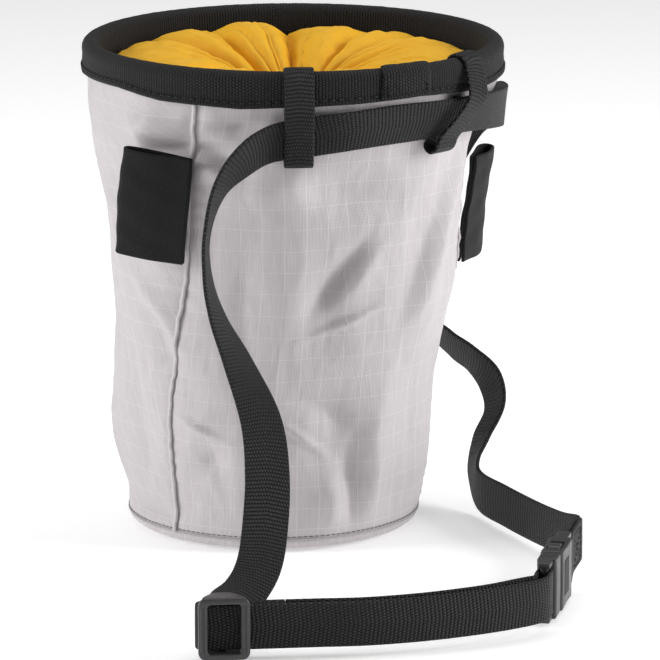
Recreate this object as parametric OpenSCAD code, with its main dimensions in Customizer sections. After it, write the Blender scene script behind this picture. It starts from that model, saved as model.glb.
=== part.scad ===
// Climbing chalk bag with a waist belt, standing on its base.
// +Z is up, the belt's loose run lies on the -Y side, and the origin is the middle of the base.

/* [Bag] */
// Outside diameter of the stiffened rim
rim_d = 145; // [135:1:150]
// Height of the rim's top above the surface the bag stands on
rim_top = 169.6; // [168:0.2:172]
// Radius of the shell where it meets the base
base_r = 50.5; // [48:0.5:52]
// Thickness of the shell fabric with its backing
shell_t = 1.2; // [0.6:0.1:1.2]
// Thickness of the fleece lining
liner_t = 1.6; // [1:0.1:1.6]

/* [Rim] */
// Height of the folded binding on the outside of the rim
binding_h = 11.2; // [9:0.2:11.6]
// Thickness of the binding webbing
binding_t = 1.1; // [0.8:0.1:1.2]
// Diameter of the wire hoop inside the binding
hoop_d = 3.2; // [2.4:0.2:3.4]

/* [Collar] */
// Radius of the drawn-up mouth of the collar, at the middle of its hem
mouth_r = 7.6; // [7:0.2:9]
// Outside diameter of the rolled hem
hem_d = 4.8; // [4:0.2:5]
// Diameter of the drawcord inside the hem
drawcord_d = 2.4; // [1.6:0.2:2.4]

/* [Belt] */
// Width of the belt webbing
belt_w = 15; // [12:0.5:15]
// Thickness of the belt webbing
belt_t = 1.2; // [0.8:0.1:1.2]
// Width of the two webbing loops that hold the belt
loop_w = 10; // [8:0.5:12]
// Height of the elastic brush loops
brush_loop_h = 38; // [30:1:40]

/* [Buckle] */
// Height of the buckle and slider, which stand on edge
buckle_w = 20.4; // [20:0.1:20.4]
// Distance between the plug's bar and the socket's bar
buckle_l = 39; // [39:0.5:40]
// Thickness of the buckle socket
buckle_t = 7.6; // [7:0.1:8]
// Length of the slider along the webbing
slider_l = 16.6; // [16:0.2:18]

/* [Hidden] */

$fn = 64;
web_z = 10.4;           // height of the webbing's middle where the buckle and slider stand
bar_r = 1.4;            // bars of the buckle and slider
fold_r = 2.2;           // middle of webbing folded round a bar
web_gap = 8.1;          // half the clear height between a frame's rails

// Shell rings: height, radius, centre along X, and the angle of the left seam from -Y towards +X
shell_rings = [[5, base_r, 0, -42], [14, 52, 0.5, -42], [28, 54, 0.5, -41], [46, 55.5, 0.5, -40],
  [70, 57, 2, -38], [92, 59.5, 3.5, -35], [114, 62, 4, -32], [136, 64.5, 3.5, -29.5],
  [147, 67.5, 5, -28.5], [156, 70.5, 7, -28], [163.8, 70.5, 7, -28]];
right_seam = 98;
wall_lean = 7;
rim_cx = 7;             // centre of the rim along X
binding_r = rim_d / 2;
binding_half = 3.1;     // half the binding's width over the hoop
hoop_z = rim_top - binding_half;
hoop_r = binding_r - binding_half;

slider_at = [-16, -183.5];
slider_turn = 6;
plug_at = [88, -142];
buckle_turn = 78;

// Belt route as [x, y, z, direction from its bottom edge to its top edge]
belt_route = concat(
  [from_slider(-4.6, 6.1), from_slider(-0.8, 7.9)],
  [[-14.4, -170.4, 13.4, -0.6, 0.4, 0.7], [-9, -161, 16.5, -0.95, 0.25, 0.3],
   [-5, -151, 21.5, -1, 0.05, 0.1], [-3, -141, 30, -1, 0, 0.05],
   [-2, -130, 46, -0.97, -0.25, 0], [-4, -118, 62, -0.9, -0.45, 0],
   [-11.5, -106, 79, -0.6, -0.8, 0.05], [-18, -97.5, 92, -0.25, -0.97, 0],
   [-21.5, -90, 104, -0.1, -1, 0], [-22, -84, 117, -0.1, -1, 0.1],
   [-18, -80, 131, -0.2, -0.88, 0.4], [-10, -77, 140.5, -0.2, -0.6, 0.75],
   [-2, -71.8, 145, -0.1, -0.45, 0.88], [8, -70, 147, 0, -0.3, 0.95],
   [25, -68.2, 149, 0.1, -0.32, 0.94], [41, -60.5, 150, 0.16, -0.28, 0.94],
   [55.3, -50.8, 150, 0.28, -0.28, 0.92], [67.6, -36.3, 149.5, 0.36, -0.2, 0.9],
   [76, -20, 148, 0.3, -0.08, 0.95], [79.5, -2, 146, 0.1, 0, 1],
   [78, 17, 143, 0, 0.05, 1], [71.5, 35, 135.5, -0.1, 0.35, 0.9],
   [63, 48, 118, -0.3, 0.7, 0.6], [56, 54.5, 97, -0.4, 0.9, 0.1],
   [54, 54, 75, -0.3, 0.93, -0.15], [57, 48, 58, -0.15, 0.85, -0.45],
   [63, 41, 52, -0.1, 0.75, -0.64], [70, 34, 48, -0.2, 0.74, -0.62],
   [76.5, 28, 41.5, -0.42, 0.68, -0.6], [78, 23.5, 33, -0.42, 0.8, -0.35],
   [73.5, 18, 24, -0.28, 0.94, -0.12], [70.5, 11, 15, -0.18, 0.9, -0.38],
   [72, 1, 8.5, -0.03, 0.2, -1], [80, -19, 8, 0, 0, -1],
   [90, -42, 8, 0, 0, -1], [98, -60, 8.8, 0, 0, -1]],
  [turned(from_buckle(buckle_l + 34, 0.65)), turned(from_buckle(buckle_l + 30.8, 0.8))]);

// Front run: round the fold at the slider, straight through it, and along to the plug's bar
front_route = concat(
  [for (a = [90:30:270]) from_slider(-5.2 + 3.05 * cos(a), 3.05 + 3.05 * sin(a))],
  [from_slider(10, 0), from_slider(30, 0), from_slider(46, 0)],
  [[46, -174.5, web_z, 0, 0, 1], [60, -169, web_z, 0, 0, 1], [72, -163, web_z, 0, 0, 1],
   [80.5, -157.5, web_z, 0, 0, 1], [85.8, -153.2, web_z, 0, 0, 1]],
  [from_buckle(-7, -fold_r), from_buckle(-4, -fold_r)]);

// Return run: from the plug's bar back to the sewn end on the slider
return_route = concat(
  [from_slider(20.3, 4.5), from_slider(30, 4.35)],
  [[29, -174.6, web_z, 0, 0, 1], [45, -170.3, web_z, 0, 0, 1], [58, -165, web_z, 0, 0, 1],
   [69, -159.3, web_z, 0, 0, 1], [77, -153.5, web_z, 0, 0, 1], [81.8, -150, web_z, 0, 0, 1]],
  [from_buckle(-7, fold_r), from_buckle(-4, fold_r)]);

// ---- places and paths ----

function placed(at, turn, x, y) =
  [at[0] + x * cos(turn) - y * sin(turn), at[1] + x * sin(turn) + y * cos(turn), web_z, 0, 0, 1];
function from_slider(x, y) = placed(slider_at, slider_turn, x, y);
function from_buckle(x, y) = placed(plug_at, buckle_turn, x, y);
function turned(row) = [row[0], row[1], row[2], -row[3], -row[4], -row[5]];
// A place at an angle from -Y towards +X, at a distance from the upright line through the belt's circle
function round_bag(angle, r, z) = [5 + r * sin(angle), -r * cos(angle), z, cos(angle), sin(angle), 0];

function spline(a, b, c, d, t) =
  0.5 * (2 * b + (c - a) * t + (2 * a - 5 * b + 4 * c - d) * t * t + (3 * b - a - 3 * c + d) * t * t * t);
function smooth(rows, n) = [for (i = [0:len(rows) - 2], k = [0:n - 1])
  spline(rows[max(i - 1, 0)], rows[i], rows[i + 1], rows[min(i + 2, len(rows) - 1)], k / n),
  rows[len(rows) - 1]];

function unit(v) = v / norm(v);
function point(row) = [row[0], row[1], row[2]];
function along(rows, i) =
  unit(point(rows[min(i + 1, len(rows) - 1)]) - point(rows[max(i - 1, 0)]));
function across(rows, i) =
  let (t = along(rows, i), w = [rows[i][3], rows[i][4], rows[i][5]]) unit(w - (w * t) * t);
function band(rows, i, wide, thick) =
  let (p = point(rows[i]), w = across(rows, i) * wide / 2,
       n = cross(along(rows, i), across(rows, i)) * thick / 2)
  [p - w - n, p + w - n, p + w + n, p - w + n];

// Webbing folded round a bar at the origin: both layers run to +X and end at reach
function fold_rows(reach, gap) = concat(
  [[reach, -gap / 2, 0, 0, 0, 1], [reach * 0.4 + 1.2, -gap / 2, 0, 0, 0, 1]],
  [for (a = [-80:-29:-283]) [fold_r * cos(a), fold_r * sin(a), 0, 0, 0, 1]],
  [[reach * 0.4 + 1.2, gap / 2, 0, 0, 0, 1], [reach, gap / 2, 0, 0, 0, 1]]);

// ---- shared shapes ----

// A closed solid through a stack of rings that each hold the same number of points;
// the faces of cap close its first ring, and turned over they close its last
module loft(rings, cap) {
  m = len(rings[0]);
  top = m * (len(rings) - 1);
  polyhedron(
    points = [for (ring = rings) each ring],
    faces = concat(
      cap,
      [for (i = [0:len(rings) - 2], k = [0:m - 1])
        let (a = m * i + k, b = m * i + (k + 1) % m) each [[a, a + m, b + m], [a, b + m, b]]],
      [for (face = cap) [for (k = [len(face) - 1:-1:0]) top + face[k]]]),
    convexity = 10);
}

module strap(rows, wide, thick) {
  loft([for (i = [0:len(rows) - 1]) band(rows, i, wide, thick)], [[0, 1, 2, 3]]);
}

function wall_point(ring, angle, inset) =
  [ring[2] + (ring[1] - inset) * sin(angle), -(ring[1] - inset) * cos(angle), ring[0]];

// Part of the bag's wall between two seams, whose angles may differ from ring to ring
module wall_panel(starts, ends, steps) {
  loft([for (i = [0:len(shell_rings) - 1])
    let (ring = shell_rings[i], a = starts[i], b = ends[i]) concat(
      [for (k = [0:steps]) wall_point(ring, a + (b - a) * k / steps, 0)],
      [for (k = [steps:-1:0]) wall_point(ring, a + (b - a) * k / steps, shell_t)])],
    [for (k = [0:steps - 1]) [k, k + 1, 2 * steps - k, 2 * steps + 1 - k]]);
}

module bag_inside(inset, low, high) {
  loft([for (i = [0:len(shell_rings) - 1])
    let (ring = shell_rings[i], z = i == 0 ? low : i == len(shell_rings) - 1 ? high : ring[0])
    [for (k = [0:47]) wall_point([z, ring[1], ring[2]], k * 7.5, inset)]],
    [[for (k = [0:47]) k]]);
}

module seam_ridge(angles) {
  rows = [for (i = [0:len(shell_rings) - 3]) let (ring = shell_rings[i], a = angles[i])
    concat(wall_point(ring, a, -0.9), [cos(a), sin(a), 0])];
  strap(smooth(rows, 2), 2.4, 0.9);
}

module on_rim() { translate([rim_cx, 0, 0]) children(); }
module on_slider() { translate([slider_at[0], slider_at[1], web_z]) rotate([0, 0, slider_turn]) children(); }
module on_buckle() { translate([plug_at[0], plug_at[1], web_z]) rotate([0, 0, buckle_turn]) children(); }

// A plate in the X-Z plane, standing between two depths along Y
module upright(y0, y1) {
  translate([0, y1, 0]) rotate([90, 0, 0]) linear_extrude(y1 - y0) children();
}

module side_rails(x0, x1, half_t) {
  for (s = [0, 1]) mirror([0, 0, s])
    translate([x0, -half_t, web_gap]) cube([x1 - x0, 2 * half_t, buckle_w / 2 - web_gap]);
}

module bar(x, y) { translate([x, y, -web_gap - 0.2]) cylinder(r = bar_r, h = 2 * web_gap + 0.4, $fn = 32); }

left_seams = [for (ring = shell_rings) ring[3]];
right_seams = [for (ring = shell_rings) right_seam];

// ---- bag ----

module back_panel() {
  color("#c9c3c6") wall_panel([for (a = left_seams) a + 0.2], [for (a = right_seams) a - 0.2], 24);
}

module front_panel() {
  color("#c9c3c6") wall_panel([for (a = right_seams) a + 0.2], [for (a = left_seams) a + 359.8], 36);
}

module left_side_seam() { color("#bdb7ba") seam_ridge(left_seams); }

module right_side_seam() { color("#bdb7ba") seam_ridge(right_seams); }

module base_panel() {
  color("#c4bec1") rotate_extrude($fn = 96)
    polygon([[0, 0], [45, 0], [48.4, 1], [50.2, 3.2], [48.8, 3.4], [47.4, 2.2], [44.4, 1.4], [0, 1.4]]);
}

module base_welt() {
  color("#5f5a5e") rotate_extrude($fn = 96) translate([base_r - 0.1, 4.1]) circle(r = 0.65, $fn = 16);
}

module fleece_liner() {
  color("#8f8b8e") difference() {
    bag_inside(shell_t + 0.2, 5, 158.2);
    bag_inside(shell_t + 0.2 + liner_t, 4, 162);
  }
}

module liner_base() {
  color("#8f8b8e") translate([0, 0, 1.9]) cylinder(r = 46, h = 1.6, $fn = 96);
}

module collar() {
  color("#f2b41c") on_rim() rotate_extrude($fn = 96)
    polygon([[66, 153.5], [65.2, 157], [61, 160.2], [52, 162.5], [42, 162], [30, 159], [18, 153.6],
      [mouth_r + 3, 148.8], [mouth_r + 3, 147.4], [18, 152.4], [30, 157.8], [42, 160.8], [52, 161.3],
      [60.4, 159.1], [64, 156.4], [64.8, 153.5]]);
}

module collar_hem() {
  color("#e9a915") on_rim() rotate_extrude($fn = 64) translate([mouth_r, 146.6]) difference() {
    circle(d = hem_d, $fn = 24);
    circle(d = drawcord_d + 0.6, $fn = 24);
  }
}

module drawcord() {
  color("#3a383b") on_rim() rotate_extrude($fn = 64) translate([mouth_r, 146.6])
    circle(d = drawcord_d, $fn = 24);
}

module cord_eyelet() {
  color("#3a383b") on_rim() translate([0, 15, 153.2]) rotate([25, 0, 0]) rotate_extrude($fn = 32)
    translate([3, 0]) circle(r = 0.9, $fn = 16);
}

// ---- rim ----

module rim_hoop() {
  color("#2d2b2e") on_rim() rotate_extrude($fn = 96)
    translate([hoop_r, hoop_z]) circle(d = hoop_d, $fn = 24);
}

module binding_outline(half, low_out, low_in) {
  translate([hoop_r, hoop_z]) circle(r = half, $fn = 32);
  translate([hoop_r - half, low_in]) square([half, hoop_z - low_in]);
  translate([hoop_r, low_out]) square([half, hoop_z - low_out]);
}

module rim_binding() {
  color("#262427") on_rim() rotate_extrude($fn = 96) difference() {
    binding_outline(binding_half, rim_top - binding_h, rim_top - binding_h);
    binding_outline(binding_half - binding_t, 150, 150);
  }
}

module binding_join() {
  color("#2f2d30") on_rim() rotate([0, 0, -66]) rotate_extrude(angle = 15, $fn = 96)
    translate([binding_r + 0.1, rim_top - binding_h + 0.2]) square([0.9, 9]);
}

// ---- loops ----

module left_belt_loop() {
  r0 = hoop_r;
  color("#262427") strap(smooth([for (p = [
      [71.6, 157.4], [70.9, 154], [68.6, 147], [66.5, 140.6], [66.4, 138.2], [67.8, 137.2], [69.5, 138.4],
      [70.4, 141.5], [72.1, 147], [74.2, 154.5], [73.9, 160], [r0 + 3.9, hoop_z], [r0 + 2.8, hoop_z + 2.8],
      [r0, hoop_z + 3.9], [r0 - 2.8, hoop_z + 2.8], [r0 - 3.9, hoop_z], [r0 - 3.9, 162]])
    round_bag(3, p[0], p[1])], 2), loop_w, 1);
}

module right_belt_loop() {
  r0 = hoop_r + 1.7;
  color("#262427") strap(smooth([for (p = [
      [53.6, 72.6, 155.9], [53.1, 71.9, 153.9], [51, 69.4, 149.5], [49.5, 66.6, 143], [48.5, 66.1, 139.6],
      [48, 68.4, 138.2], [48, 71, 139.6], [48.5, 72.6, 143.5], [51, 76, 149.5], [53.5, 79, 156.5],
      [55.5, 77.2, 162], [56.5, r0 + 3.9, hoop_z], [56.5, r0 + 2.8, hoop_z + 2.8], [56.5, r0, hoop_z + 3.9],
      [56.5, r0 - 2.8, hoop_z + 2.8], [56.5, r0 - 3.9, hoop_z], [56.5, r0 - 3.9, 162]])
    round_bag(p[0], p[1], p[2])], 2), loop_w, 1);
}

// Elastic folded double: both ends in the seam, the fold away from it, leaning with the bag's wall
module brush_loop(turn, slant) {
  color("#1f1d20") rotate([0, 0, turn]) rotate([-wall_lean, slant, 0])
    strap(smooth([for (p = [
        [0.6, 0], [6, -0.1], [12, -0.3], [19, -0.2], [23, 0.5], [24.4, 2.1], [23, 3.7], [18, 4.2],
        [12, 3.8], [6, 2.4], [0.6, 1.3]])
      [p[0], p[1], brush_loop_h / 2, 0, 0, 1]], 2), brush_loop_h, 1);
}

module left_brush_loop() { translate([-29.6, -53.9, 101]) brush_loop(159, -8); }

module right_brush_loop() { translate([64.2, 8.5, 88.5]) mirror([0, 1, 0]) brush_loop(-79, 0); }

// ---- belt ----

module belt_strap() { color("#222023") strap(smooth(belt_route, 2), belt_w, belt_t); }

module belt_front_run() { color("#222023") strap(smooth(front_route, 2), belt_w, belt_t); }

module belt_return_run() { color("#222023") strap(smooth(return_route, 2), belt_w, belt_t); }

module web_fold(reach, gap) { strap(smooth(fold_rows(reach, gap), 2), belt_w, belt_t); }

module slider() {
  color("#4a474a") on_slider() {
    upright(-2.8, -1) difference() {
      offset(2.5) square([slider_l - 5, buckle_w - 5], center = true);
      offset(1) square([slider_l - 8.2, 2 * web_gap - 2], center = true);
    }
    for (s = [0, 1]) mirror([0, 0, s]) translate([0, 0, web_gap]) linear_extrude(buckle_w / 2 - web_gap)
      polygon([[-slider_l / 2 + 2, -2], [-slider_l / 2 + 2, 0.4], [-2.6, 5.1], [2.6, 5.1],
        [slider_l / 2 - 2, 0.4], [slider_l / 2 - 2, -2]]);
    bar(0, 3.7);
  }
}

module slider_web_loop() { color("#222023") on_slider() translate([0, 3.7, 0]) web_fold(20, 1.6); }

// ---- buckle ----

module buckle_socket() {
  color("#454245") on_buckle() {
    difference() {
      translate([14, -buckle_t / 2, -buckle_w / 2]) cube([buckle_l - 19.6, buckle_t, buckle_w]);
      translate([13, -2.4, -8.6]) cube([18.4, 4.8, 17.2]);
      translate([17.2, -2.4, -15]) cube([10.4, 4.8, 30]);
    }
    side_rails(buckle_l - 6, buckle_l + 1.8, 2.2);
    bar(buckle_l, 0);
  }
}

module socket_web_fold() { color("#222023") on_buckle() translate([buckle_l, 0, 0]) web_fold(30, 1.6); }

module buckle_plug() {
  color("#454245") on_buckle() {
    bar(0, 0);
    side_rails(-1.8, 6, 2);
    translate([4.2, -3.2, -buckle_w / 2]) cube([9.2, 6.4, buckle_w]);
    translate([13.4, -1.8, -1.6]) cube([15.6, 3.6, 3.2]);
  }
}

module plug_web_fold() { color("#222023") on_buckle() rotate([0, 0, 180]) web_fold(3.7, 2 * fold_r); }

// Springy latch arm: a round root at the plug, and a head that catches in the socket's window
module latch_arm() {
  on_buckle() {
    translate([15, 2, 5.8]) rotate([90, 0, 0]) cylinder(r = 1.3, h = 4, $fn = 32);
    upright(-2, 2) polygon([[14.6, 4.6], [14.6, 7], [17.6, 7.9], [17.9, 10.3], [20, 10.9], [23.4, 10.6],
      [26.6, 8.8], [28.4, 6.6], [28.2, 5.4], [24, 6.2], [18, 5.6]]);
  }
}

module upper_arm() { color("#454245") latch_arm(); }

module lower_arm() { color("#454245") translate([0, 0, 2 * web_z]) mirror([0, 0, 1]) latch_arm(); }

back_panel();
front_panel();
left_side_seam();
right_side_seam();
base_panel();
base_welt();
fleece_liner();
liner_base();
collar();
collar_hem();
drawcord();
cord_eyelet();
rim_hoop();
rim_binding();
binding_join();
left_belt_loop();
right_belt_loop();
left_brush_loop();
right_brush_loop();
belt_strap();
belt_front_run();
belt_return_run();
slider();
slider_web_loop();
buckle_socket();
socket_web_fold();
buckle_plug();
plug_web_fold();
upper_arm();
lower_arm();
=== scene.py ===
import math
import random
import bpy
import bmesh
import numpy as np
from mathutils import Matrix, Vector, noise


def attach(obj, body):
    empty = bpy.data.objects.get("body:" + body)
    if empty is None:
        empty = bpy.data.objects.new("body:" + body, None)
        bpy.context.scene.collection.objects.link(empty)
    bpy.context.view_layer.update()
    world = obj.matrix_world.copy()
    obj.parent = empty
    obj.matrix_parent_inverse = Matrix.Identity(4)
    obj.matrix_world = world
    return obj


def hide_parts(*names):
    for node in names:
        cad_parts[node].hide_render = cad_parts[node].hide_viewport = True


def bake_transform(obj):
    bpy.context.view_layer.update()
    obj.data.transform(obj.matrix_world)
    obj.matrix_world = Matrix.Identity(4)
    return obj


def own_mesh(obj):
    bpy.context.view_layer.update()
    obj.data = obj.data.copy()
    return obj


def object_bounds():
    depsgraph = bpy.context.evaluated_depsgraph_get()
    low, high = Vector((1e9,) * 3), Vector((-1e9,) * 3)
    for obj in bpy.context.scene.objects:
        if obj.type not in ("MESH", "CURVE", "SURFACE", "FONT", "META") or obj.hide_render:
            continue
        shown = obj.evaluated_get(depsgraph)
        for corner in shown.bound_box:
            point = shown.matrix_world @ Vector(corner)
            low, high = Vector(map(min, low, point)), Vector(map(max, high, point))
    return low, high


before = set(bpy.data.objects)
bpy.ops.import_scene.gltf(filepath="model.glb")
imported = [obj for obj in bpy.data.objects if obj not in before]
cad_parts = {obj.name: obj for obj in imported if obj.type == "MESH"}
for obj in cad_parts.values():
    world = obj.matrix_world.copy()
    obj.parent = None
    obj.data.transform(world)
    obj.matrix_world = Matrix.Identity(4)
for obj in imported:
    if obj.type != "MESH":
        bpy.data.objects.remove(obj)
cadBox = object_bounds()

mm = 0.001
print("frame loaded:", len(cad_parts), "parts")

# camera, floor and light
view = {"target": (0.0197, 0.0, 0.0662), "place": (0.0, -1.9555, 0.5044), "lens": 314.9}
camera = bpy.data.objects.new("camera", bpy.data.cameras.new("camera"))
bpy.context.scene.collection.objects.link(camera)
camera.location = view["place"]
camera.rotation_euler = (Vector(view["target"]) - Vector(view["place"])).to_track_quat("-Z", "Y").to_euler()
camera.data.lens = view["lens"]
camera.data.sensor_width = 36
camera.data.clip_end = 20
bpy.context.scene.camera = camera

light = {"world": 0.14, "right": 19, "left": 15, "top": 11}


def areaLight(name, place, size, power):
    lamp = bpy.data.lights.new(name, "AREA")
    lamp.shape = "RECTANGLE"
    lamp.size, lamp.size_y = size
    lamp.energy = power
    holder = bpy.data.objects.new(name, lamp)
    bpy.context.scene.collection.objects.link(holder)
    holder.location = place
    holder.rotation_euler = (Vector((0, 0, 0.08)) - Vector(place)).to_track_quat("-Z", "Y").to_euler()


areaLight("softRight", (1.35, -0.22, 0.55), (0.6, 0.9), light["right"])
areaLight("softLeft", (-1.35, -0.3, 0.5), (0.6, 0.9), light["left"])
areaLight("softTop", (0.0, 0.25, 1.5), (1.6, 1.2), light["top"])
world = bpy.data.worlds.new("studio")
bpy.context.scene.world = world
world.use_nodes = True
world.node_tree.nodes["Background"].inputs["Color"].default_value = (1, 1, 1, 1)
world.node_tree.nodes["Background"].inputs["Strength"].default_value = light["world"]
bpy.context.scene.view_settings.view_transform = "Standard"
print("camera and light ready")


# shader helpers
def calc(tree, kind, *values):
    node = tree.nodes.new("ShaderNodeMath")
    node.operation = kind
    for i, value in enumerate(values):
        if isinstance(value, (int, float)):
            node.inputs[i].default_value = value
        else:
            tree.links.new(value, node.inputs[i])
    return node.outputs[0]


def newGroup(name, inputs, outputs):
    tree = bpy.data.node_groups.new(name, "ShaderNodeTree")
    for label, kind, value in inputs:
        socket = tree.interface.new_socket(label, in_out="INPUT", socket_type=kind)
        if value is not None:
            socket.default_value = value
    for label in outputs:
        tree.interface.new_socket(label, in_out="OUTPUT", socket_type="NodeSocketFloat")
    return tree, tree.nodes.new("NodeGroupInput"), tree.nodes.new("NodeGroupOutput")


def splitUv(tree, vector):
    node = tree.nodes.new("ShaderNodeSeparateXYZ")
    tree.links.new(vector, node.inputs[0])
    return node.outputs[0], node.outputs[1]


def noiseNode(tree, vector, scale, detail=3):
    node = tree.nodes.new("ShaderNodeTexNoise")
    node.inputs["Scale"].default_value = scale
    node.inputs["Detail"].default_value = detail
    tree.links.new(vector, node.inputs["Vector"])
    return node.outputs[0]


def wave(tree, value, pitch):
    # 0 in the gap between two threads, 1 on the crown
    turn = calc(tree, "MULTIPLY", calc(tree, "DIVIDE", value, pitch), math.pi)
    return calc(tree, "ABSOLUTE", calc(tree, "SINE", turn))


# webbing: rows of beads across the strap, each row half a bead out of step with the next
def makeWebbingGroup():
    tree, source, sink = newGroup("webbingWeave", [
        ("Vector", "NodeSocketVector", None), ("Rib Pitch", "NodeSocketFloat", 0.00105),
        ("Bead Pitch", "NodeSocketFloat", 0.00075), ("Chevron", "NodeSocketFloat", 0.12)],
        ["Height", "Gap Shade Mask", "Lint Mask"])
    across, along = splitUv(tree, source.outputs["Vector"])
    slant = calc(tree, "MULTIPLY", calc(tree, "ABSOLUTE", across), source.outputs["Chevron"])
    along = calc(tree, "ADD", along, slant)
    rib = wave(tree, along, source.outputs["Rib Pitch"])
    row = calc(tree, "FLOOR", calc(tree, "DIVIDE", along, source.outputs["Rib Pitch"]))
    step = calc(tree, "MULTIPLY", calc(tree, "MULTIPLY", row, 0.5), source.outputs["Bead Pitch"])
    bead = wave(tree, calc(tree, "ADD", across, step), source.outputs["Bead Pitch"])
    height = calc(tree, "MULTIPLY", calc(tree, "POWER", rib, 0.6), calc(tree, "ADD", calc(
        tree, "MULTIPLY", calc(tree, "POWER", bead, 0.8), 0.75), 0.25))
    lint = noiseNode(tree, source.outputs["Vector"], 900, 2)
    tree.links.new(height, sink.inputs["Height"])
    # Gap Shade Mask is 1 in the gaps between the threads; the webbing materials paint shade there with it
    tree.links.new(calc(tree, "SUBTRACT", 1, height), sink.inputs["Gap Shade Mask"])
    tree.links.new(lint, sink.inputs["Lint Mask"])
    return tree


# plain cloth with thicker threads at even steps both ways
def makeRipstopGroup():
    tree, source, sink = newGroup("ripstopWeave", [
        ("Vector", "NodeSocketVector", None), ("Thread Pitch", "NodeSocketFloat", 0.00042),
        ("Grid Pitch", "NodeSocketFloat", 0.0075), ("Grid Width", "NodeSocketFloat", 0.00036)],
        ["Height", "Grid Mask", "Slub Mask"])
    wobble = noiseNode(tree, source.outputs["Vector"], 60, 2)
    across, along = splitUv(tree, source.outputs["Vector"])
    shift = calc(tree, "MULTIPLY", calc(tree, "SUBTRACT", wobble, 0.5), 0.0012)
    across = calc(tree, "ADD", across, shift)
    along = calc(tree, "ADD", along, shift)
    threadU = wave(tree, across, source.outputs["Thread Pitch"])
    threadV = wave(tree, along, source.outputs["Thread Pitch"])
    masks = []
    for value in (across, along):
        spot = calc(tree, "PINGPONG", value, calc(tree, "MULTIPLY", source.outputs["Grid Pitch"], 0.5))
        line = calc(tree, "SUBTRACT", 1, calc(tree, "SMOOTH_MIN", calc(
            tree, "DIVIDE", spot, source.outputs["Grid Width"]), 1, 0.3))
        masks.append(calc(tree, "MAXIMUM", line, 0))
    # the threads that run up are finer and paler than the ones that run round
    grid = calc(tree, "MAXIMUM", masks[0], calc(tree, "MULTIPLY", masks[1], 0.75))
    weave = calc(tree, "MULTIPLY", calc(tree, "ADD", threadU, threadV), 0.5)
    height = calc(tree, "ADD", weave, calc(tree, "MULTIPLY", grid, 0.6))
    slubVector = tree.nodes.new("ShaderNodeMapping")
    slubVector.inputs["Scale"].default_value = (1800, 120, 1)
    tree.links.new(source.outputs["Vector"], slubVector.inputs["Vector"])
    tree.links.new(height, sink.inputs["Height"])
    tree.links.new(grid, sink.inputs["Grid Mask"])
    tree.links.new(noiseNode(tree, slubVector.outputs[0], 1, 2), sink.inputs["Slub Mask"])
    return tree


# faint mottle and grain that moulded and dyed surfaces share
def makeMottleGroup():
    tree, source, sink = newGroup("mottle", [
        ("Vector", "NodeSocketVector", None), ("Patch Size", "NodeSocketFloat", 0.02),
        ("Grain Size", "NodeSocketFloat", 0.0006)], ["Patches", "Grain"])
    for label, size in (("Patches", "Patch Size"), ("Grain", "Grain Size")):
        node = tree.nodes.new("ShaderNodeTexNoise")
        node.inputs["Detail"].default_value = 3
        tree.links.new(source.outputs["Vector"], node.inputs["Vector"])
        tree.links.new(calc(tree, "DIVIDE", 1, source.outputs[size]), node.inputs["Scale"])
        tree.links.new(node.outputs[0], sink.inputs[label])
    return tree


webbingGroup = makeWebbingGroup()
ripstopGroup = makeRipstopGroup()
mottleGroup = makeMottleGroup()


def startMaterial(name, base, roughness, sheen=0.0, sheenRoughness=0.5, specular=0.5):
    material = bpy.data.materials.new(name)
    material.use_nodes = True
    material.diffuse_color = (*base, 1)
    tree = material.node_tree
    shader = tree.nodes["Principled BSDF"]
    shader.inputs["Base Color"].default_value = (*base, 1)
    shader.inputs["Roughness"].default_value = roughness
    shader.inputs["Sheen Weight"].default_value = sheen
    shader.inputs["Sheen Roughness"].default_value = sheenRoughness
    shader.inputs["Specular IOR Level"].default_value = specular
    return material, tree, shader


def useGroup(tree, group, source, **values):
    node = tree.nodes.new("ShaderNodeGroup")
    node.node_tree = group
    coord = tree.nodes.new("ShaderNodeTexCoord")
    tree.links.new(coord.outputs[source], node.inputs["Vector"])
    for label, value in values.items():
        node.inputs[label.replace("_", " ")].default_value = value
    return node


def mixColor(tree, mask, low, high):
    node = tree.nodes.new("ShaderNodeMix")
    node.data_type = "RGBA"
    node.clamp_factor = True
    tree.links.new(mask, node.inputs["Factor"])
    for i, color in ((6, low), (7, high)):
        if isinstance(color, tuple):
            node.inputs[i].default_value = (*color, 1)
        else:
            tree.links.new(color, node.inputs[i])
    return node.outputs[2]


def addBump(tree, shader, height, distance, strength=1.0):
    node = tree.nodes.new("ShaderNodeBump")
    node.inputs["Distance"].default_value = distance
    node.inputs["Strength"].default_value = strength
    tree.links.new(height, node.inputs["Height"])
    tree.links.new(node.outputs[0], shader.inputs["Normal"])
    return node


def stretchRange(tree, value, low, high, newLow, newHigh):
    node = tree.nodes.new("ShaderNodeMapRange")
    for i, number in enumerate((low, high, newLow, newHigh)):
        node.inputs[i + 1].default_value = number
    tree.links.new(value, node.inputs[0])
    return node.outputs[0]


def webbingMaterial(name, gapShade, pale, rib, bead, depth, roughness=0.52, chevron=0.12, sheen=0.03):
    material, tree, shader = startMaterial(name, pale, roughness, sheen, 0.45, 0.2)
    weave = useGroup(tree, webbingGroup, "UV", Rib_Pitch=rib, Bead_Pitch=bead, Chevron=chevron)
    worn = mixColor(tree, stretchRange(tree, weave.outputs["Lint Mask"], 0.35, 0.7, 0, 1), pale,
                    tuple(c * 1.35 for c in pale))
    # painted shade: the colour is mixed towards the darker colour in the gaps between the threads
    color = mixColor(tree, stretchRange(tree, weave.outputs["Gap Shade Mask"], 0.08, 0.6, 0, 1), worn, gapShade)
    tree.links.new(color, shader.inputs["Base Color"])
    addBump(tree, shader, weave.outputs["Height"], depth, 1.0)
    return material


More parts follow.
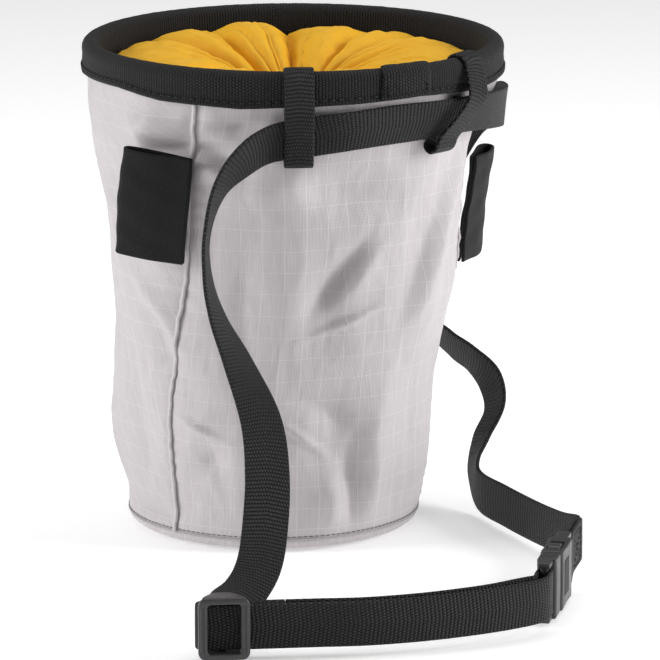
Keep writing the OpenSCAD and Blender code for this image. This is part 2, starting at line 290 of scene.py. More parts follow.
def clothMaterial(name, base, thread, pitch, grid, gridWidth, depth, roughness, sheen, patch):
    material, tree, shader = startMaterial(name, base, roughness, sheen, 0.4, 0.4)
    weave = useGroup(tree, ripstopGroup, "UV", Thread_Pitch=pitch, Grid_Pitch=grid, Grid_Width=gridWidth)
    spots = useGroup(tree, mottleGroup, "Object", Patch_Size=patch)
    low = mixColor(tree, stretchRange(tree, weave.outputs["Slub Mask"], 0.3, 0.7, 0, 1),
                   tuple(c * 0.93 for c in base), tuple(min(1, c * 1.05) for c in base))
    aged = mixColor(tree, stretchRange(tree, spots.outputs["Patches"], 0.35, 0.75, 0, 0.35), low,
                    tuple(c * 0.9 for c in base))
    tree.links.new(mixColor(tree, weave.outputs["Grid Mask"], aged, thread), shader.inputs["Base Color"])
    tree.links.new(stretchRange(tree, spots.outputs["Grain"], 0.3, 0.7, roughness - 0.05, roughness + 0.07),
                   shader.inputs["Roughness"])
    addBump(tree, shader, weave.outputs["Height"], depth, 0.8)
    return material


def plasticMaterial(name, base, roughness):
    material, tree, shader = startMaterial(name, base, roughness, 0, 0.5, 0.5)
    spots = useGroup(tree, mottleGroup, "Object", Patch_Size=0.006, Grain_Size=0.00045)
    tree.links.new(mixColor(tree, stretchRange(tree, spots.outputs["Patches"], 0.3, 0.7, 0, 1),
                            tuple(c * 0.85 for c in base), tuple(c * 1.15 for c in base)),
                   shader.inputs["Base Color"])
    tree.links.new(stretchRange(tree, spots.outputs["Patches"], 0.3, 0.7, roughness - 0.06, roughness + 0.08),
                   shader.inputs["Roughness"])
    addBump(tree, shader, spots.outputs["Grain"], 0.00004, 0.6)
    return material


def fleeceMaterial(name, base):
    material, tree, shader = startMaterial(name, base, 0.95, 0.6, 0.6, 0.2)
    spots = useGroup(tree, mottleGroup, "Object", Patch_Size=0.004, Grain_Size=0.0007)
    tree.links.new(mixColor(tree, stretchRange(tree, spots.outputs["Patches"], 0.3, 0.7, 0, 1),
                            tuple(c * 0.8 for c in base), base), shader.inputs["Base Color"])
    addBump(tree, shader, spots.outputs["Grain"], 0.0006, 1.0)
    return material


tones = {"shell": (0.53, 0.494, 0.508), "shellThread": (0.64, 0.612, 0.623), "yellow": (0.85, 0.455, 0.006),
         "yellowThread": (0.9, 0.5, 0.01), "gapShadeBlack": (0.0015, 0.0015, 0.0017),
         "black": (0.025, 0.0243, 0.0262), "plastic": (0.036, 0.034, 0.037), "fleece": (0.28, 0.27, 0.28),
         "seamThread": (0.5, 0.47, 0.48), "hemThread": (0.045, 0.042, 0.045)}

shellCloth = clothMaterial("shellRipstop", tones["shell"], tones["shellThread"], 0.0005, 0.0076, 0.0002,
                           0.00011, 0.5, 0.15, 0.03)
collarCloth = clothMaterial("collarNylon", tones["yellow"], tones["yellowThread"], 0.00035, 0.9, 0.0001,
                            0.00005, 0.6, 0.04, 0.02)
# in each webbing below, the first colour is painted shade for the gaps between the threads and the second is
# the thread's own colour
beltWebbing = webbingMaterial("beltWebbing", tones["gapShadeBlack"], tones["black"], 0.00135, 0.00095, 0.00035)
loopWebbing = webbingMaterial("loopWebbing", tones["gapShadeBlack"], tones["black"], 0.0013, 0.0009, 0.0003)
bindingWebbing = webbingMaterial("bindingTape", tones["gapShadeBlack"], (0.021, 0.0205, 0.0222), 0.0011, 0.0008,
                                 0.0003, 0.7, 0.0, 0.05)
elasticWebbing = webbingMaterial("brushElastic", tones["gapShadeBlack"], (0.0125, 0.0122, 0.0133), 0.00055,
                                 0.0012, 0.00022, 0.66, 0.0, 0.05)
darkPlastic = plasticMaterial("buckleAcetal", tones["plastic"], 0.36)
eyeletPlastic = plasticMaterial("eyeletAcetal", (0.03, 0.029, 0.031), 0.42)
hoopWire = plasticMaterial("hoopCoating", (0.02, 0.02, 0.021), 0.4)
fleeceCloth = fleeceMaterial("linerFleece", tones["fleece"])
cordBraid = webbingMaterial("drawcordBraid", tones["gapShadeBlack"], tones["black"], 0.0008, 0.0006, 0.0002)
seamThread = webbingMaterial("seamThread", tuple(c * 0.6 for c in tones["seamThread"]), tones["seamThread"],
                             0.0005, 0.0005, 0.00008)
weltThread = webbingMaterial("weltThread", (0.08, 0.075, 0.078), (0.16, 0.15, 0.155), 0.0005, 0.0005, 0.00008)
hemThread = webbingMaterial("hemThread", tones["gapShadeBlack"], tones["hemThread"], 0.0005, 0.0005, 0.00008)
print("materials ready")


# mesh helpers
def makeObject(name, verts, faces, uvs=None, material=None, smooth=True):
    mesh = bpy.data.meshes.new(name)
    mesh.from_pydata([tuple(v) for v in verts], [], faces)
    if uvs is not None:
        layer = mesh.uv_layers.new(name="metres")
        layer.data.foreach_set("uv", [x for uv in uvs for x in uv])
    mesh.polygons.foreach_set("use_smooth", [smooth] * len(mesh.polygons))
    mesh.update()
    obj = bpy.data.objects.new(name, mesh)
    bpy.context.scene.collection.objects.link(obj)
    if material:
        mesh.materials.append(material)
    return obj


def settle(obj, body, slotName, *replaced):
    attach(obj, body)
    if replaced:
        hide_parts(*replaced)
    return obj


def cleanMesh(mesh, gap=None, outward=True):
    # welds points closer than gap, if there is one, and turns the faces outward unless told not to
    bm = bmesh.new()
    bm.from_mesh(mesh)
    if gap:
        bmesh.ops.remove_doubles(bm, verts=bm.verts, dist=gap)
    if outward:
        bmesh.ops.recalc_face_normals(bm, faces=bm.faces)
    bm.to_mesh(mesh)
    bm.free()


def applyModifiers(obj):
    bpy.context.view_layer.update()
    mesh = bpy.data.meshes.new_from_object(obj.evaluated_get(bpy.context.evaluated_depsgraph_get()))
    obj.modifiers.clear()
    obj.data = mesh
    return obj


def curvePoint(a, b, c, d, t):
    # place at share t of the smooth curve from b to c, with a before and d after them
    return 0.5 * (2 * b + (c - a) * t + (2 * a - 5 * b + 4 * c - d) * t * t
                  + (3 * b - a - 3 * c + d) * t ** 3)


def catmull(rows, count):
    rows = [np.array(row, float) for row in rows]
    found = []
    for i in range(len(rows) - 1):
        around = rows[max(i - 1, 0)], rows[i], rows[i + 1], rows[min(i + 2, len(rows) - 1)]
        found += [curvePoint(*around, k / count) for k in range(count)]
    found.append(rows[-1])
    return np.array(found)


def smoothLoop(points, count=4):
    n = len(points)
    found = []
    for i in range(n):
        around = [np.array(points[(i + k) % n], float) for k in (-1, 0, 1, 2)]
        found += [tuple(curvePoint(*around, k / count)) for k in range(count)]
    return found


def bandOutline(wide, thick, crown=0.0, steps=14):
    # section of a woven strap: flat faces, round selvages, slightly thinner towards the edges
    half, r = wide / 2, thick / 2
    points = []
    for k in range(steps + 1):
        x = -half + r + (wide - 2 * r) * k / steps
        points.append((x, r * (1 + crown * (1 - (x / half) ** 2))))
    points += [(half - r + r * math.sin(a), r * math.cos(a)) for a in (0.79, 1.57, 2.36)]
    for k in range(steps, -1, -1):
        x = -half + r + (wide - 2 * r) * k / steps
        points.append((x, -r * (1 + crown * (1 - (x / half) ** 2))))
    points += [(-half + r - r * math.sin(a), -r * math.cos(a)) for a in (0.79, 1.57, 2.36)]
    return points


def ribbon(name, rows, wide, thick, material, steps=14, count=1, ripple=None, edge=0.0):
    # a strap along rows of place and direction from its bottom edge to its top edge, in millimetres
    path = catmull(rows, count) if count > 1 else np.array(rows, float)
    centre = path[:, :3]
    tangent = np.gradient(centre, axis=0)
    tangent /= np.linalg.norm(tangent, axis=1)[:, None]
    up = path[:, 3:6] - tangent * np.sum(path[:, 3:6] * tangent, axis=1)[:, None]
    up /= np.linalg.norm(up, axis=1)[:, None]
    side = np.cross(tangent, up)
    length = np.concatenate([[0], np.cumsum(np.linalg.norm(np.diff(centre, axis=0), axis=1))])
    outline = bandOutline(wide, thick, 0.12, steps)
    m, n = len(outline), len(path)
    verts = []
    for i in range(n):
        for x, y in outline:
            lift = ripple(length[i], x) if ripple else 0
            swell = 1 + edge * noise.noise(Vector((length[i] * 0.11, 0.0 if x < 0 else 7.3, 1.7)))
            verts.append((centre[i] + up[i] * x * swell + side[i] * (y + lift)) * mm)
    girth = [0]
    for k in range(m):
        girth.append(girth[-1] + math.dist(outline[k], outline[(k + 1) % m]))
    faces, uvs = [], []
    flat = [outline[k][0] for k in range(m)]
    for i in range(n - 1):
        for k in range(m):
            k2 = (k + 1) % m
            faces.append((m * i + k, m * i + k2, m * (i + 1) + k2, m * (i + 1) + k))
            u1, u2 = flat[k] * mm, flat[k2] * mm
            if abs(u1 - u2) < 1e-5:
                u2 = u1 + 0.0003
            uvs += [(u1, length[i] * mm), (u2, length[i] * mm), (u2, length[i + 1] * mm),
                    (u1, length[i + 1] * mm)]
    for ring, flip in ((0, True), (m * (n - 1), False)):
        cap = [ring + k for k in range(m)]
        faces.append(tuple(reversed(cap)) if flip else tuple(cap))
        order = list(reversed(range(m))) if flip else list(range(m))
        uvs += [(outline[k][0] * mm, outline[k][1] * mm) for k in order]
    obj = makeObject(name, verts, faces, uvs, material)
    cleanMesh(obj.data)
    return obj, centre * mm


def gridSheet(name, grid, uvGrid, material, closed=False):
    # grid[i][j] in metres
    rows, columns = len(grid), len(grid[0])
    verts = [p for row in grid for p in row]
    faces, uvs = [], []
    for i in range(rows - 1):
        for j in range(columns if closed else columns - 1):
            j2 = (j + 1) % columns
            faces.append((i * columns + j, i * columns + j2, (i + 1) * columns + j2, (i + 1) * columns + j))
            last = uvGrid[i][j + 1], uvGrid[i + 1][j + 1]
            uvs += [uvGrid[i][j], last[0], last[1], uvGrid[i + 1][j]]
    return makeObject(name, verts, faces, uvs, material)


def thicken(obj, thick, offset=-1.0):
    solid = obj.modifiers.new("thickness", "SOLIDIFY")
    solid.thickness = thick * mm
    solid.offset = offset
    solid.use_even_offset = False
    return applyModifiers(obj)


def stitchRow(name, places, normals, material, pitch=2.9, long=2.2, radius=0.27):
    # short threads laid along a line of places; each one dips at both ends
    places, normals = np.array(places, float), np.array(normals, float)
    along = np.concatenate([[0], np.cumsum(np.linalg.norm(np.diff(places, axis=0), axis=1))])
    verts, faces, uvs = [], [], []
    for k in range(int(along[-1] / pitch)):
        mid = (k + 0.5) * pitch
        start = len(verts)
        for i in range(5):
            s = mid + (i / 4 - 0.5) * long
            p = np.array([np.interp(s, along, places[:, c]) for c in range(3)])
            q = np.array([np.interp(s + 0.1, along, places[:, c]) for c in range(3)])
            n = np.array([np.interp(s, along, normals[:, c]) for c in range(3)])
            t = (q - p) / max(np.linalg.norm(q - p), 1e-9)
            n = n / np.linalg.norm(n)
            b = np.cross(t, n)
            dip = -radius * 1.6 * abs(i / 2 - 1) ** 3
            r = radius * (0.55 if i in (0, 4) else 1)
            for a in range(6):
                c, d = math.cos(a * math.pi / 3), math.sin(a * math.pi / 3)
                verts.append((p + n * (dip + r * c) + b * r * d) * mm)
        for i in range(4):
            for a in range(6):
                a2 = (a + 1) % 6
                faces.append((start + 6 * i + a, start + 6 * i + a2, start + 6 * i + 6 + a2,
                              start + 6 * i + 6 + a))
                uvs += [(a * 0.0003, i * 0.0006), (a * 0.0003 + 0.0003, i * 0.0006),
                        (a * 0.0003 + 0.0003, i * 0.0006 + 0.0006), (a * 0.0003, i * 0.0006 + 0.0006)]
        for ring, order in ((start, range(5, -1, -1)), (start + 24, range(6))):
            faces.append(tuple(ring + a for a in order))
            uvs += [(a * 0.0001, 0) for a in range(6)]
    return makeObject(name, verts, faces, uvs, material)


def plate(name, outlines, low, high, bevel, matrix, material, segments=2):
    # outlines in the X-Z plane, the second and later ones are holes; low and high are depths along Y
    curve = bpy.data.curves.new(name, "CURVE")
    curve.dimensions = "2D"
    curve.fill_mode = "BOTH"
    curve.extrude = (high - low) / 2 * mm - bevel * mm
    curve.bevel_depth = bevel * mm
    curve.bevel_resolution = segments
    curve.offset = -bevel * mm
    for outline in outlines:
        line = curve.splines.new("POLY")
        line.points.add(len(outline) - 1)
        for point, (x, z) in zip(line.points, outline):
            point.co = (x * mm, z * mm, 0, 1)
        line.use_cyclic_u = True
    holder = bpy.data.objects.new(name + "Curve", curve)
    bpy.context.scene.collection.objects.link(holder)
    bpy.context.view_layer.update()
    mesh = bpy.data.meshes.new_from_object(holder.evaluated_get(bpy.context.evaluated_depsgraph_get()))
    bpy.data.objects.remove(holder)
    # the curve lies in X-Y and rises along Z: turn it so that its Y is up
    turn = Matrix(((1, 0, 0, 0), (0, 0, 1, (low + high) / 2 * mm), (0, 1, 0, 0), (0, 0, 0, 1)))
    mesh.transform(matrix @ turn)
    cleanMesh(mesh, 2e-6)
    mesh.materials.clear()
    mesh.materials.append(material)
    mesh.name = name
    obj = bpy.data.objects.new(name, mesh)
    bpy.context.scene.collection.objects.link(obj)
    shadeByAngle(obj)
    return obj


def shadeByAngle(obj, degrees=38):
    obj.data.polygons.foreach_set("use_smooth", [True] * len(obj.data.polygons))
    obj.data.set_sharp_from_angle(angle=math.radians(degrees))


def rounded(x0, z0, x1, z1, r, steps=5):
    points = []
    for cx, cz, start in ((x1 - r, z1 - r, 0), (x0 + r, z1 - r, 90), (x0 + r, z0 + r, 180),
                          (x1 - r, z0 + r, 270)):
        for k in range(steps + 1):
            a = math.radians(start + 90 * k / steps)
            points.append((cx + r * math.cos(a), cz + r * math.sin(a)))
    return points


def rod(name, x, y, low, high, r, matrix, material, sides=20, groove=0.0):
    verts, faces = [], []
    levels = [(low, r - 0.25), (low + 0.25, r)] + [(low + (high - low) * k / 6, r) for k in range(1, 6)] + [
        (high - 0.25, r), (high, r - 0.25)]
    for z, size in levels:
        for k in range(sides):
            a = 2 * math.pi * k / sides
            s = size * (1 - groove * (k % 4 == 0))
            verts.append(matrix @ Vector(((x + s * math.cos(a)) * mm, (y + s * math.sin(a)) * mm, z * mm)))
    for i in range(len(levels) - 1):
        for k in range(sides):
            k2 = (k + 1) % sides
            faces.append((sides * i + k, sides * i + k2, sides * (i + 1) + k2, sides * (i + 1) + k))
    faces.append(tuple(reversed(range(sides))))
    faces.append(tuple(range(sides * (len(levels) - 1), sides * len(levels))))
    obj = makeObject(name, verts, faces, None, material)
    shadeByAngle(obj)
    return obj


def joined(name, first, *others):
    # one clean solid from parts that overlap
    for other in others:
        union = first.modifiers.new("union", "BOOLEAN")
        union.operation = "UNION"
        union.solver = "EXACT"
        union.object = other
    applyModifiers(first)
    for other in others:
        bpy.data.objects.remove(other)
    first.name = name
    shadeByAngle(first)
    return first


def torus(name, centre, tilt, big, small, material, bumps=0, lift=0.0, rings=96, sides=20):
    turn = Matrix.Translation(Vector(centre) * mm) @ Matrix.Rotation(math.radians(tilt), 4, "X")
    grid, uvGrid = [], []
    for i in range(sides + 1):
        a = 2 * math.pi * i / sides
        row = []
        for j in range(rings):
            b = 2 * math.pi * j / rings
            r = small * (1 + (lift * math.sin(bumps * b + 1.3 * math.sin(3 * b)) if bumps else 0))
            reach = big + r * math.cos(a)
            row.append(turn @ (Vector((reach * math.cos(b), reach * math.sin(b), r * math.sin(a))) * mm))
        grid.append(row)
        uvGrid.append([(small * a * mm, big * 2 * math.pi * j / rings * mm) for j in range(rings + 1)])
    obj = gridSheet(name, grid, uvGrid, material, closed=True)
    cleanMesh(obj.data, 1e-7)
    return obj


# places that the belt's pieces share, in millimetres
webZ, foldR, buckleLong, buckleWide = 10.4, 2.2, 39, 20.4
sliderAt, sliderTurn = (-16, -183.5), 6
plugAt, buckleTurn = (88, -142), 78


def placed(at, turn, x, y):
    c, s = math.cos(math.radians(turn)), math.sin(math.radians(turn))
    return [at[0] + x * c - y * s, at[1] + x * s + y * c, webZ, 0, 0, 1]


def fromSlider(x, y):
    return placed(sliderAt, sliderTurn, x, y)


def fromBuckle(x, y):
    return placed(plugAt, buckleTurn, x, y)


def turned(row):
    return row[:3] + [-row[3], -row[4], -row[5]]


def frameAt(at, turn):
    return Matrix.Translation(Vector((at[0], at[1], webZ)) * mm) @ Matrix.Rotation(math.radians(turn), 4, "Z")


onSlider, onBuckle = frameAt(sliderAt, sliderTurn), frameAt(plugAt, buckleTurn)

# the waist belt comes first: its free strap, then the runs between slider and buckle
belt = {"width": 15, "thickness": 1.25, "loopWidth": 10, "loopThickness": 1.1, "length": 0.596}
beltRoute = [fromSlider(-4.6, 6.1), fromSlider(-0.8, 7.9)] + [
    [-14.4, -170.4, 13.4, -0.6, 0.4, 0.7], [-9, -161, 16.5, -0.95, 0.25, 0.3],
    [-5, -151, 21.5, -1, 0.05, 0.1], [-3, -141, 30, -1, 0, 0.05],
    [-2, -130, 46, -0.97, -0.25, 0], [-4, -118, 62, -0.9, -0.45, 0],
    [-11.5, -106, 79, -0.6, -0.8, 0.05], [-18, -97.5, 92, -0.25, -0.97, 0],
    [-21.5, -90, 104, -0.1, -1, 0], [-22, -84, 117, -0.1, -1, 0.1],
    [-18, -80, 131, -0.2, -0.88, 0.4], [-10, -77, 140.5, -0.2, -0.6, 0.75],
    [-2, -71.8, 145, -0.1, -0.45, 0.88], [8, -70, 147, 0, -0.3, 0.95],
    [25, -68.2, 149, 0.1, -0.32, 0.94], [41, -60.5, 150, 0.16, -0.28, 0.94],
    [55.3, -50.8, 150, 0.28, -0.28, 0.92], [67.6, -36.3, 149.5, 0.36, -0.2, 0.9],
    [76, -20, 148, 0.3, -0.08, 0.95], [79.5, -2, 146, 0.1, 0, 1],
    [78, 17, 143, 0, 0.05, 1], [71.5, 35, 135.5, -0.1, 0.35, 0.9],
    [63, 48, 118, -0.3, 0.7, 0.6], [56, 54.5, 97, -0.4, 0.9, 0.1],
    [54, 54, 75, -0.3, 0.93, -0.15], [57, 48, 58, -0.15, 0.85, -0.45],
    [63, 41, 52, -0.1, 0.75, -0.64], [70, 34, 48, -0.2, 0.74, -0.62],
    [76.5, 28, 41.5, -0.42, 0.68, -0.6], [78, 23.5, 33, -0.42, 0.8, -0.35],
    [73.5, 18, 24, -0.28, 0.94, -0.12], [70.5, 11, 15, -0.18, 0.9, -0.38],
    [72, 1, 8.5, -0.03, 0.2, -1], [80, -19, 8, 0, 0, -1],
    [90, -42, 8, 0, 0, -1], [98, -60, 8.8, 0, 0, -1],
    turned(fromBuckle(buckleLong + 34, 0.65)), turned(fromBuckle(buckleLong + 30.8, 0.8))]
beltStrap, beltPath = ribbon("beltStrap", beltRoute, belt["width"], belt["thickness"], beltWebbing, count=8)
settle(beltStrap, "bag", "belt_webbing", "belt_strap")

turnBack = {"x": -5.2, "radius": 3.05}  # half circle in which the front run turns at the slider
frontRoute = [fromSlider(turnBack["x"] + turnBack["radius"] * math.cos(math.radians(a)),
                         turnBack["radius"] + turnBack["radius"] * math.sin(math.radians(a)))
              for a in range(90, 271, 30)] + [fromSlider(x, 0) for x in (10, 30, 46)] + [
    [46, -174.5, webZ, 0, 0, 1], [60, -169, webZ, 0, 0, 1], [72, -163, webZ, 0, 0, 1],
    [80.5, -157.5, webZ, 0, 0, 1], [85.8, -153.2, webZ, 0, 0, 1],
    fromBuckle(-7, -foldR), fromBuckle(-4, -foldR)]
frontRun = ribbon("beltFrontRun", frontRoute, belt["width"], belt["thickness"], beltWebbing, count=8)[0]
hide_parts("belt_front_run")
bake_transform(frontRun)

returnRoute = [fromSlider(20.3, 4.5), fromSlider(30, 4.35)] + [
    [29, -174.6, webZ, 0, 0, 1], [45, -170.3, webZ, 0, 0, 1], [58, -165, webZ, 0, 0, 1],
    [69, -159.3, webZ, 0, 0, 1], [77, -153.5, webZ, 0, 0, 1], [81.8, -150, webZ, 0, 0, 1],
    fromBuckle(-7, foldR), fromBuckle(-4, foldR)]
returnRows = catmull(returnRoute, 8)
split = 24  # row where the slack ends and the run to the plug starts
slideRun, slidePath = ribbon("beltReturnSlack", returnRows[:split + 1], belt["width"], belt["thickness"],
                             beltWebbing)
settle(slideRun, "bag", "belt_webbing", "belt_return_run")
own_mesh(slideRun)
plugRun, plugPath = ribbon("beltReturnRun", returnRows[split:], belt["width"], belt["thickness"], beltWebbing)
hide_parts("belt_return_run")
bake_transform(plugRun)
print("belt laid:", round(float(np.sum(np.linalg.norm(np.diff(beltPath, axis=0), axis=1))), 4),
      "m of free strap")


def foldRows(reach, gap):
    rows = [[reach, -gap / 2], [reach * 0.4 + 1.2, -gap / 2]]
    rows += [[foldR * math.cos(math.radians(a)), foldR * math.sin(math.radians(a))]
             for a in range(-80, -284, -29)]
    return rows + [[reach * 0.4 + 1.2, gap / 2], [reach, gap / 2]]


def webFold(name, matrix, reach, gap):
    rows = []
    for x, y in foldRows(reach, gap):
        p = matrix @ Vector((x * mm, y * mm, 0)) / mm
        rows.append([*p, 0, 0, 1])
    return ribbon(name, rows, belt["width"], belt["thickness"], beltWebbing, count=5)[0]


onSocketBar = onBuckle @ Matrix.Translation((buckleLong * mm, 0, 0))
sliderFold = webFold("sliderWebFold", onSlider @ Matrix.Translation((0, 0.0037, 0)), 20, 1.6)
settle(sliderFold, "slider", "belt_webbing", "slider_web_loop")
socketFold = webFold("socketWebFold", onSocketBar, 30.9, 1.6)
settle(socketFold, "bag", "belt_webbing", "socket_web_fold")
plugFold = webFold("plugWebFold", onBuckle @ Matrix.Rotation(math.pi, 4, "Z"), 3.7, 2 * foldR)
settle(plugFold, "plug", "belt_webbing", "plug_web_fold")


def boxTack(name, matrix, x0, x1, y, side, body):
    # box of stitches with a cross in it, sewn through the doubled end
    low, high = -5.6, 5.6
    corners = [(x0, low), (x1, low), (x1, high), (x0, high), (x0, low), (x1, high), (x1, low), (x0, high)]
    points, normals = [], []
    for (ax, az), (bx, bz) in zip(corners, corners[1:]):
        for k in range(10):
            p = matrix @ Vector(((ax + (bx - ax) * k / 10) * mm, y * mm, (az + (bz - az) * k / 10) * mm)) / mm
            points.append(p)
            normals.append(matrix.to_3x3() @ Vector((0, side, 0)))
    return settle(stitchRow(name, points, normals, hemThread, pitch=2.3, long=1.9, radius=0.24), body,
                  "belt_webbing")


tacks = [boxTack("sliderTackFront", onSlider, 6.5, 17, 2.2, -1, "slider"),
         boxTack("sliderTackBack", onSlider, 6.5, 17, 5.25, 1, "slider"),
         boxTack("socketTackFront", onSocketBar, 13, 27, -1.5, -1, "bag"),
         boxTack("socketTackBack", onSocketBar, 13, 27, 1.5, 1, "bag")]

# slider: a ladder frame with a raised middle bar
ladder = {"long": 16.6, "gap": 8.1, "bar": 1.4, "ridge": 0.42, "ridgeDepth": -2.75}
halfLong, halfWide = ladder["long"] / 2, buckleWide / 2
sliderFrame = plate("sliderFrame", [rounded(-halfLong, -halfWide, halfLong, halfWide, 2.6),
                                    rounded(-halfLong + 2.9, -ladder["gap"], halfLong - 2.9, ladder["gap"],
                                            1.0)],
                    -2.9, -0.9, 0.45, onSlider, darkPlastic)


def sideRail(name, matrix, outline, low, high, bevel=0.4):
    # outline is in X-Y, and low to high is its height along Z
    stand = matrix @ Matrix.Rotation(-math.pi / 2, 4, "X")
    return plate(name, [outline], -high, -low, bevel, stand, darkPlastic)


railShape = smoothLoop([(-6.4, -2.2), (-6.6, 0.2), (-4.6, 3.2), (-2.6, 5.0), (0, 5.5), (2.6, 5.0), (4.6, 3.2),
                        (6.6, 0.2), (6.4, -2.2), (0, -2.4)], 3)
rails = [sideRail("sliderRail", onSlider, railShape, low, high) for low, high in ((8.0, 10.2), (-10.2, -8.0))]
ridges = [rod("sliderRidge", side * (halfLong - x), ladder["ridgeDepth"], -7.6, 7.6, ladder["ridge"],
              onSlider, darkPlastic, 12) for side in (1, -1) for x in (0.95, 2.15)]
middleBar = rod("sliderBar", 0, 3.7, -8.4, 8.4, ladder["bar"], onSlider, darkPlastic)
slider = joined("sliderBody", sliderFrame, *rails, middleBar, *ridges)
settle(slider, "slider", "buckle_plastic", "slider")
print("slider built")

# buckle: socket, plug and two arms that catch in the socket's side windows
buckle = {"socket": 7.6, "pocket": 4.8, "socketRail": 4.6, "plug": 6.6, "plugRail": 4.2, "tongue": 3.6,
          "arm": 4.0, "bar": 1.4}  # thicknesses, and the radius of the bars


def slab(name, outline, bevel, thick, segments=2):
    return plate(name, [outline], -buckle[thick] / 2, buckle[thick] / 2, bevel, onBuckle, darkPlastic,
                 segments)


def cutAway(obj, cutters):
    for cutter in cutters:
        cut = obj.modifiers.new("cut", "BOOLEAN")
        cut.operation = "DIFFERENCE"
        cut.solver = "EXACT"
        cut.object = cutter
    applyModifiers(obj)
    for cutter in cutters:
        bpy.data.objects.remove(cutter)


socketShape = smoothLoop([(14.0, -9.2), (14.4, -10.1), (17, -10.2), (22, -9.9), (28, -10.0), (32, -10.2),
                          (33.2, -9.6), (33.4, -6), (33.4, 0), (33.4, 6), (33.2, 9.6), (32, 10.2), (28, 10.0),
                          (22, 9.9), (17, 10.2), (14.4, 10.1), (14.0, 9.2), (14.6, 5), (14.8, 0),
                          (14.6, -5)], 4)
socketBody = slab("socketBody", socketShape, 1.0, "socket", 3)
pocket = slab("pocket", rounded(12, -8.6, 31.4, 8.6, 0.8), 0.3, "pocket")
windowCut = slab("window", rounded(17.2, -15, 27.6, 15, 0.6), 0.5, "pocket")
cutAway(socketBody, [pocket, windowCut])
socketRails = [slab("socketRail", rounded(31, low, 41, low + 2.1, 0.7), 0.6, "socketRail")
               for low in (8.1, -10.2)]
socketBar = rod("socketBar", buckleLong, 0, -8.6, 8.6, buckle["bar"], onBuckle, darkPlastic)
thumb = [plate("thumbRidge", [rounded(18.6 + 2.1 * k, -6, 19.5 + 2.1 * k, 6, 0.4)], side * 3.75 - 0.35,
               side * 3.75 + 0.35, 0.25, onBuckle, darkPlastic) for side in (-1, 1) for k in range(4)]
socket = joined("buckleSocketBody", socketBody, *socketRails, socketBar, *thumb)
settle(socket, "bag", "buckle_plastic", "buckle_socket")

plugShape = smoothLoop([(4.2, -8), (4.4, -10), (6, -10.2), (11.5, -10.2), (13.2, -9.8), (13.4, -8), (13.4, 0),
                        (13.4, 8), (13.2, 9.8), (11.5, 10.2), (6, 10.2), (4.4, 10), (4.2, 8), (4.6, 4),
                        (4.8, 0), (4.6, -4)], 3)
plugBlock = slab("plugBlock", plugShape, 0.9, "plug", 3)
plugRails = [slab("plugRail", rounded(-1.9, low, 7, low + 2.1, 0.8), 0.6, "plugRail") for low in (8.1, -10.2)]
plugBar = rod("plugBar", 0, 0, -8.6, 8.6, buckle["bar"], onBuckle, darkPlastic)
tongue = slab("tongue", rounded(12.8, -1.6, 29, 1.6, 0.6), 0.4, "tongue")
plug = joined("bucklePlugBody", plugBlock, *plugRails, plugBar, tongue)
settle(plug, "plug", "buckle_plastic", "buckle_plug")

armShape = [(14.2, 5.8), (14.6, 7.0), (17.4, 7.8), (17.9, 10.1), (20, 10.9), (23.4, 10.6), (26.6, 8.8),
            (28.4, 6.8), (28.2, 5.6), (26, 5.7), (22, 6.4), (18, 5.6), (15.5, 4.8)]
for name, sign, body, node in (("upperArm", 1, "upper_latch", "upper_arm"),
                               ("lowerArm", -1, "lower_latch", "lower_arm")):
    arm = slab(name, smoothLoop([(x, z * sign) for x, z in armShape], 4), 0.45, "arm")
    settle(arm, body, "buckle_plastic", node)
print("buckle built")

# bag shell: rows of height, radius, centre along X and the left seam's angle
shell = {"thickness": 0.7, "columns": 190, "backColumns": 320, "levels": 132, "rightSeam": 98,
         "crumple": 0.3, "dent": 1.2, "top": 163.8, "foldDepth": 1.75, "seed": 11,
         "farFolds": 22, "meanRadius": 59}
shellRings = [[2.6, 49.6, 0, -42], [5, 50.6, 0, -42], [14, 52, 0.5, -42], [28, 54, 0.5, -41],
              [46, 55.5, 0.5, -40], [70, 57, 2, -38], [92, 59.5, 3.5, -35], [114, 62, 4, -32],
              [136, 64.5, 3.5, -29.5], [147, 67.5, 5, -28.5], [156, 70.2, 7, -28], [163.8, 70.5, 7, -28]]
ringTable = catmull(shellRings, 8)
